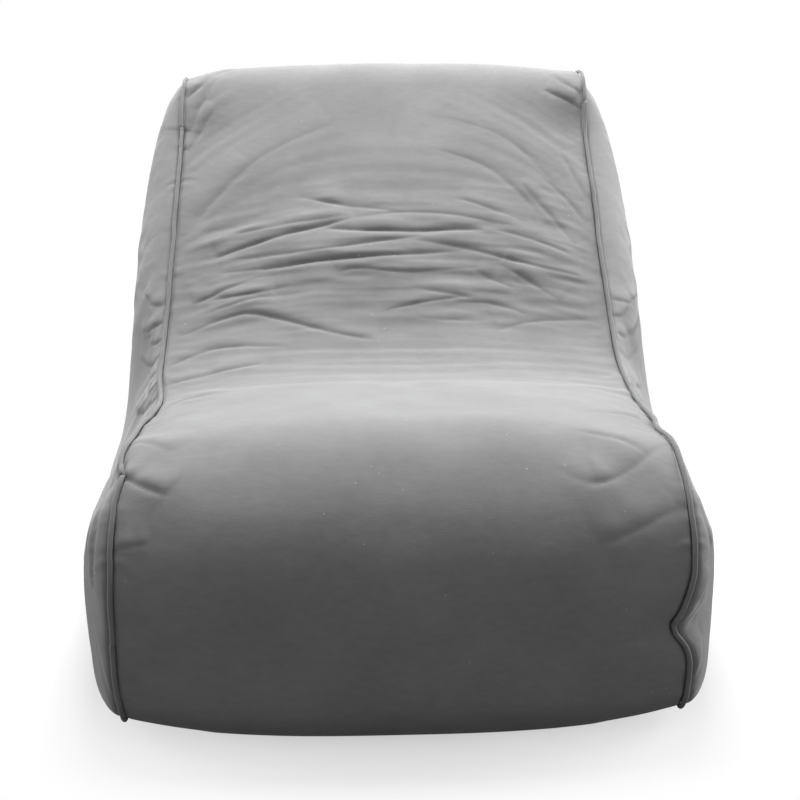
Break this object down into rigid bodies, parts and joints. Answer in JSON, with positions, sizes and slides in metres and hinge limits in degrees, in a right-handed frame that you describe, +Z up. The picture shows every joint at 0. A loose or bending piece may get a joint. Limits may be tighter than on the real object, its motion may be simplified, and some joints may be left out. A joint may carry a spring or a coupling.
{
  "type": "bean bag lounge chair",
  "caption": "Low bean bag lounger with a sloping back: piped fabric cover with domed sides and a rear zip, over zipped inner bags of beads.",
  "frame": {"origin": "on the floor, at the middle of the chair's width and depth", "axes": "+Z up, -Y the way the sitter faces, +X the sitter's left, which is the viewer's right from the front"},
  "size_m": [0.77, 0.9989, 0.6753],
  "materials": {
    "cover_fabric": "matte brushed weave",
    "piping_fabric": "matte brushed weave",
    "piping_cord": "twisted cotton",
    "inner_bag_fabric": "plain weave",
    "bead_fill": "loose foam beads",
    "zip_tape": "woven tape",
    "zip_teeth": "moulded",
    "zip_metal": "satin",
    "label": "woven, blank"
  },
  "bodies": {
    "chair": {"front_seat_and_back_panel": "cover_fabric", "base_panel": "cover_fabric", "rear_upper_panel": "cover_fabric", "rear_lower_panel": "cover_fabric", "left_side_panel": "cover_fabric", "right_side_panel": "cover_fabric", "left_piping_sleeve": "piping_fabric", "right_piping_sleeve": "piping_fabric", "left_piping_cord": "piping_cord", "right_piping_cord": "piping_cord", "seat_inner_bag": "inner_bag_fabric", "back_inner_bag": "inner_bag_fabric", "seat_bead_fill": "bead_fill", "back_bead_fill": "bead_fill", "cover_zip_upper_tape": "zip_tape", "cover_zip_upper_teeth": "zip_teeth", "cover_zip_lower_tape": "zip_tape", "cover_zip_lower_teeth": "zip_teeth", "cover_zip_stops": "zip_metal", "back_bag_zip_upper_tape": "zip_tape", "back_bag_zip_upper_teeth": "zip_teeth", "back_bag_zip_lower_tape": "zip_tape", "back_bag_zip_lower_teeth": "zip_teeth", "back_bag_zip_stops": "zip_metal", "seat_bag_zip_upper_tape": "zip_tape", "seat_bag_zip_upper_teeth": "zip_teeth", "seat_bag_zip_lower_tape": "zip_tape", "seat_bag_zip_lower_teeth": "zip_teeth", "seat_bag_zip_stops": "zip_metal", "care_label": "label"},
    "cover_slider": {"cover_zip_slider": "zip_metal"},
    "cover_pull": {"cover_zip_pull": "zip_metal"},
    "back_bag_slider": {"back_bag_zip_slider": "zip_metal"},
    "seat_bag_slider": {"seat_bag_zip_slider": "zip_metal"}
  },
  "joints": [
    {"name": "cover_zip_slide", "type": "slide", "parent": "chair", "child": "cover_slider", "axis": [-1, 0, 0], "range_m": [0, 0.392], "deforming": ["cover_zip_upper_teeth", "cover_zip_lower_teeth"]},
    {"name": "cover_pull_hinge", "type": "hinge", "parent": "cover_slider", "child": "cover_pull", "pos_m": [0.1965, 0.4976, 0.095], "axis": [0, 0, -1], "range_deg": [0, 175]},
    {"name": "back_bag_zip_slide", "type": "slide", "parent": "chair", "child": "back_bag_slider", "axis": [-1, 0, 0], "range_m": [0, 0.352], "deforming": ["back_bag_zip_upper_teeth", "back_bag_zip_lower_teeth"]},
    {"name": "seat_bag_zip_slide", "type": "slide", "parent": "chair", "child": "seat_bag_slider", "axis": [-1, 0, 0], "range_m": [0, 0.352], "deforming": ["seat_bag_zip_upper_teeth", "seat_bag_zip_lower_teeth"]}
  ]
}
